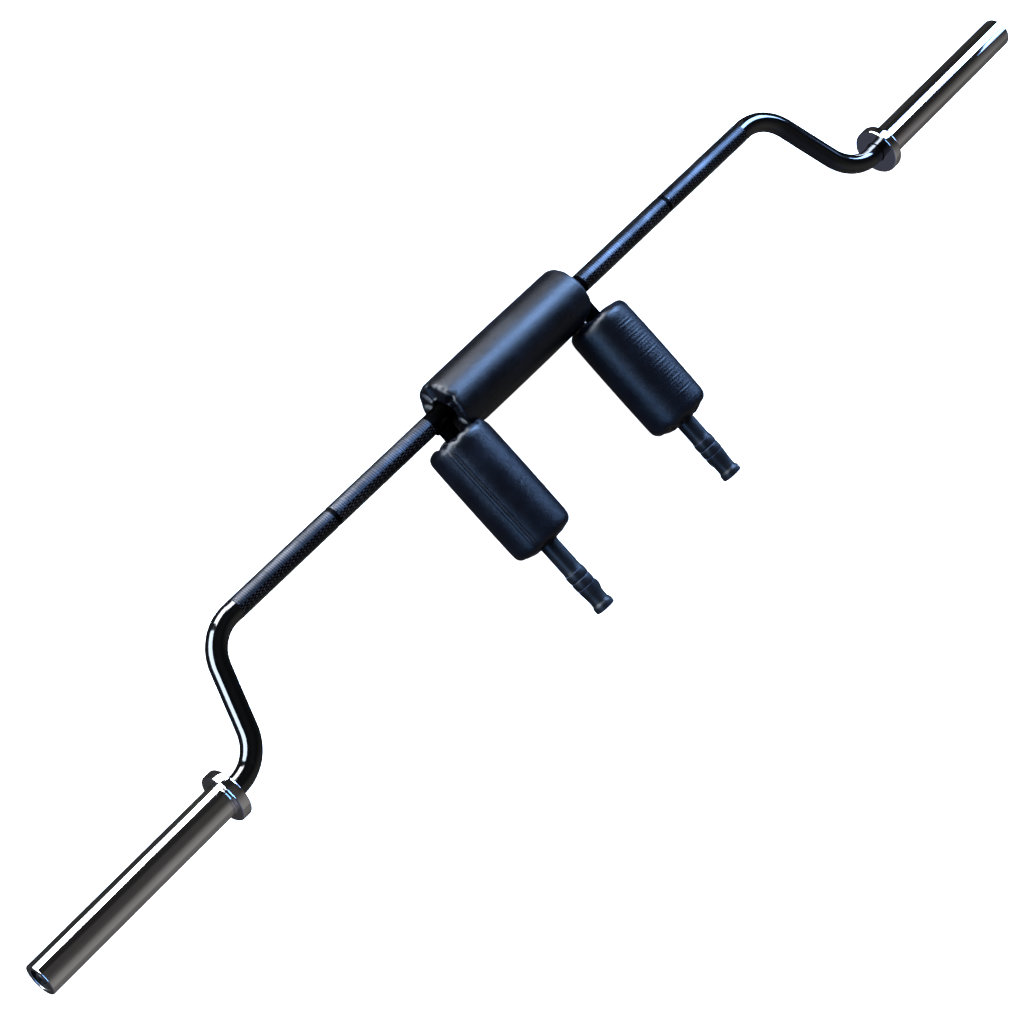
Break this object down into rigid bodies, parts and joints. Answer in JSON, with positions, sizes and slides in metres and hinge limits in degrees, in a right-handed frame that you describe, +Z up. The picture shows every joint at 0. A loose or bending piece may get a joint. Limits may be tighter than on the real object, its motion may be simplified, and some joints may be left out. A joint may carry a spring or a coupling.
{
  "type": "safety squat bar",
  "caption": "Cambered barbell with a padded neck roll, padded forward arms with moulded rubber grips, and chromed plate sleeves that turn on the bent shaft.",
  "frame": {"origin": "middle of the bottom of the part's own box: on the plane that the arm pads rest on, under the middle of the bar", "axes": "+X along the bar from the left sleeve to the right one, -Y the way the arms point, +Z up from the plane that the pads rest on"},
  "size_m": [2.2378, 0.4115, 0.1013],
  "materials": {
    "black_steel": "glossy black finish, with a fine knurl on the straight grip bands",
    "chrome": "bright chrome plate",
    "bronze": "plain bearing bronze",
    "zinc_steel": "zinc-plated steel",
    "grip_rubber": "satin black moulded rubber",
    "pad_vinyl": "fine-grained black vinyl leathercloth",
    "pad_foam": "closed-cell foam",
    "elastic": "woven elastic"
  },
  "bodies": {
    "frame": {"shaft": "black_steel", "left_arm_tube": "black_steel", "right_arm_tube": "black_steel", "left_arm_weld": "black_steel", "right_arm_weld": "black_steel", "left_grip": "grip_rubber", "right_grip": "grip_rubber", "neck_pad_cover": "pad_vinyl", "neck_pad_foam": "pad_foam", "neck_pad_left_elastic": "elastic", "neck_pad_right_elastic": "elastic", "left_arm_pad_cover": "pad_vinyl", "left_arm_pad_foam": "pad_foam", "left_arm_pad_inner_elastic": "elastic", "left_arm_pad_outer_elastic": "elastic", "right_arm_pad_cover": "pad_vinyl", "right_arm_pad_foam": "pad_foam", "right_arm_pad_inner_elastic": "elastic", "right_arm_pad_outer_elastic": "elastic", "left_thrust_washer": "zinc_steel", "right_thrust_washer": "zinc_steel", "left_retaining_washer": "zinc_steel", "right_retaining_washer": "zinc_steel", "left_end_bolt": "zinc_steel", "right_end_bolt": "zinc_steel"},
    "left_sleeve": {"left_sleeve_tube": "chrome", "left_collar": "chrome", "left_inner_bushing": "bronze", "left_outer_bushing": "bronze"},
    "right_sleeve": {"right_sleeve_tube": "chrome", "right_collar": "chrome", "right_inner_bushing": "bronze", "right_outer_bushing": "bronze"}
  },
  "joints": [
    {"name": "left_sleeve_spin", "type": "hinge", "parent": "frame", "child": "left_sleeve", "pos_m": [-0.94, -0.013, 0.05], "axis": [1, 0, 0], "continuous": true},
    {"name": "right_sleeve_spin", "type": "hinge", "parent": "frame", "child": "right_sleeve", "pos_m": [0.94, -0.013, 0.05], "axis": [1, 0, 0], "continuous": true}
  ]
}
